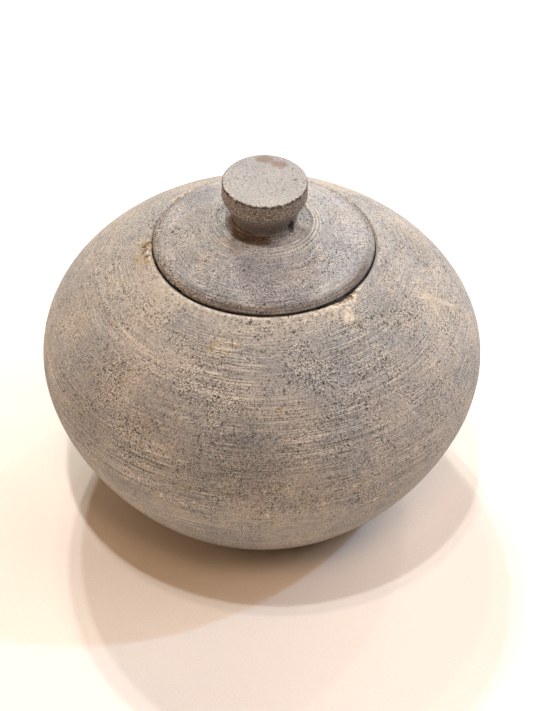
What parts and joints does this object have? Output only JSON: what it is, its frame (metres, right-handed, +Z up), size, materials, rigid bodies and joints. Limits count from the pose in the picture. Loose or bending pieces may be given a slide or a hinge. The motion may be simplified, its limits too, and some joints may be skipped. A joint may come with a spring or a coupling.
{
  "type": "go stone bowl",
  "caption": "Squat round turned-stone bowl that holds the stones for a game of go, with a sunken lift-off lid and a short mushroom knob.",
  "frame": {"origin": "middle of the face that the bowl stands on", "axes": "+Z up along the axis that every piece is turned about; +X to the right and +Y away from the viewer of the front"},
  "size_m": [0.14, 0.14, 0.1151],
  "materials": {
    "bowl_stone": "matte, pitted, fine turning lines, cream and ochre wear",
    "lid_stone": "matte, smoother than the bowl, turning lines",
    "knob_stone": "rough, open pits, sawn top",
    "cement": "matte reddish-brown bonding cement"
  },
  "bodies": {
    "bowl": {"bowl": "bowl_stone"},
    "lid": {"lid": "lid_stone", "knob": "knob_stone", "knob_cement": "cement"}
  },
  "joints": [
    {"name": "lid_lift", "type": "slide", "parent": "bowl", "child": "lid", "axis": [0, 0, 1], "range_m": [0, 0.06]}
  ]
}
